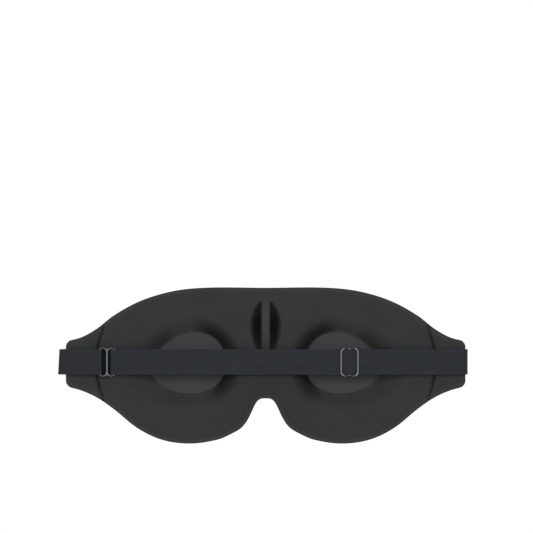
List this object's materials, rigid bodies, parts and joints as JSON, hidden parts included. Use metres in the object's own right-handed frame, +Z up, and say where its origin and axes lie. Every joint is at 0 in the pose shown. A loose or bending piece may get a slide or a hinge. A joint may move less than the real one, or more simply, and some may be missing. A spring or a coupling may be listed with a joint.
{
  "type": "contoured sleep eye mask",
  "caption": "Contoured sleep eye mask with hollow eye cups, hinged wings and an elastic head band on wire sliders.",
  "frame": {"origin": "middle of the mask, on the plane where its pad meets the face", "axes": "+Z up as worn, +Y towards the wearer's face, +X towards the wearer's left; the outer face looks along -Y"},
  "size_m": [0.2391, 0.0183, 0.0914],
  "materials": {
    "cover": "smooth matte knit, heat pressed",
    "lining": "soft brushed matte knit",
    "cup": "smooth matte knit",
    "foam": "open memory foam",
    "elastic": "ribbed knitted elastic with firm edges",
    "wire": "dark satin plated wire"
  },
  "bodies": {
    "mask_body": {"outer_cover": "cover", "foam_core": "foam", "inner_lining": "lining", "left_cup_floor": "cup", "right_cup_floor": "cup"},
    "left_wing": {"left_wing_cover": "cover", "left_wing_foam": "foam", "left_wing_lining": "lining", "left_strap_loop": "elastic"},
    "right_wing": {"right_wing_cover": "cover", "right_wing_foam": "foam", "right_wing_lining": "lining", "right_strap_loop": "elastic"},
    "strap": {"elastic_band": "elastic", "left_band_end": "elastic", "right_band_end": "elastic", "left_strap_tail": "elastic", "right_inner_layer": "elastic"},
    "left_slider": {"left_slider": "wire"},
    "right_slider": {"right_slider": "wire"}
  },
  "joints": [
    {"name": "left_wing_bend", "type": "hinge", "parent": "mask_body", "child": "left_wing", "pos_m": [0.102, 0, 0], "axis": [0, 0, 1], "range_deg": [0, 25], "deforming": ["left_band_end"]},
    {"name": "right_wing_bend", "type": "hinge", "parent": "mask_body", "child": "right_wing", "pos_m": [-0.102, 0, 0], "axis": [0, 0, -1], "range_deg": [0, 25], "deforming": ["right_band_end"]},
    {"name": "strap_lift", "type": "slide", "parent": "mask_body", "child": "strap", "axis": [0, 1, 0], "range_m": [0, 0.00577]},
    {"name": "left_slider_slide", "type": "slide", "parent": "strap", "child": "left_slider", "axis": [1, 0, 0], "range_m": [-0.06, 0.003]},
    {"name": "right_slider_slide", "type": "slide", "parent": "strap", "child": "right_slider", "axis": [1, 0, 0], "range_m": [-0.036, 0.042], "deforming": ["right_inner_layer"]}
  ],
  "couplings": [
    {"joint": "left_wing_bend", "follows": "strap_lift", "rad_per_m": 75.5},
    {"joint": "right_wing_bend", "follows": "strap_lift", "rad_per_m": 75.5}
  ]
}
